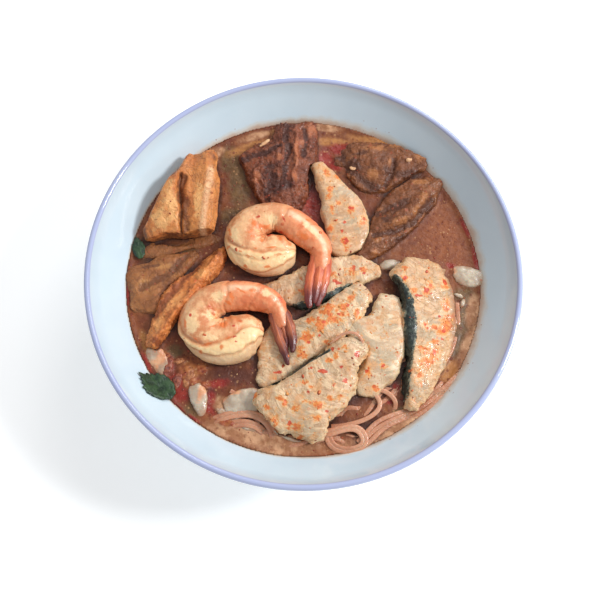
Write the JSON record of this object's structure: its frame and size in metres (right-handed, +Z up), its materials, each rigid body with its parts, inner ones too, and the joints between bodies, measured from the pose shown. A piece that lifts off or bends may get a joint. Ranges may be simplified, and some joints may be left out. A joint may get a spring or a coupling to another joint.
{
  "type": "laksa noodle soup in a bowl",
  "caption": "Wide white bowl of coconut curry noodle soup with curled prawns, sliced fish, fried tofu puffs and rice noodles.",
  "frame": {"origin": "middle of the foot ring's underside, on the table", "axes": "+Z up along the bowl's axis, +Y from the front of the meal to the two dark tofu puffs at its back, +X to the right"},
  "size_m": [0.21, 0.21, 0.062],
  "materials": {
    "bowl": "white glaze, cool lavender line round the lip",
    "soup": "wet, oily coconut curry with red oil and paste",
    "noodles": "wet, slightly see-through rice noodle",
    "prawns": "moist cooked prawn, cream to orange, dark tail tips",
    "fish": "moist flaky white fish with chilli specks and dark skin",
    "fried_tofu": "wrinkled fried skin, golden to brown",
    "soaked_tofu": "wrinkled fried skin soaked dark with curry",
    "pale_pieces": "wet pale flesh, partly under the soup"
  },
  "bodies": {
    "root": {"bowl": "bowl", "soup": "soup", "noodle_bed": "noodles", "prawn_upper": "prawns", "prawn_lower": "prawns", "fish_front": "fish", "fish_right": "fish", "fish_behind": "fish", "fish_pale": "fish", "fish_upper": "fish", "fish_middle": "fish", "tofu_leaning": "fried_tofu", "tofu_strip": "fried_tofu", "tofu_flat": "fried_tofu", "tofu_dark": "soaked_tofu", "tofu_back": "soaked_tofu", "tofu_right": "soaked_tofu", "tofu_sunk": "soaked_tofu", "pale_piece_right": "pale_pieces", "pale_piece_left": "pale_pieces", "pale_piece_lower_left": "pale_pieces", "pale_piece_front_left": "pale_pieces", "pale_piece_front": "pale_pieces", "pale_piece_middle": "pale_pieces"}
  },
  "joints": []
}
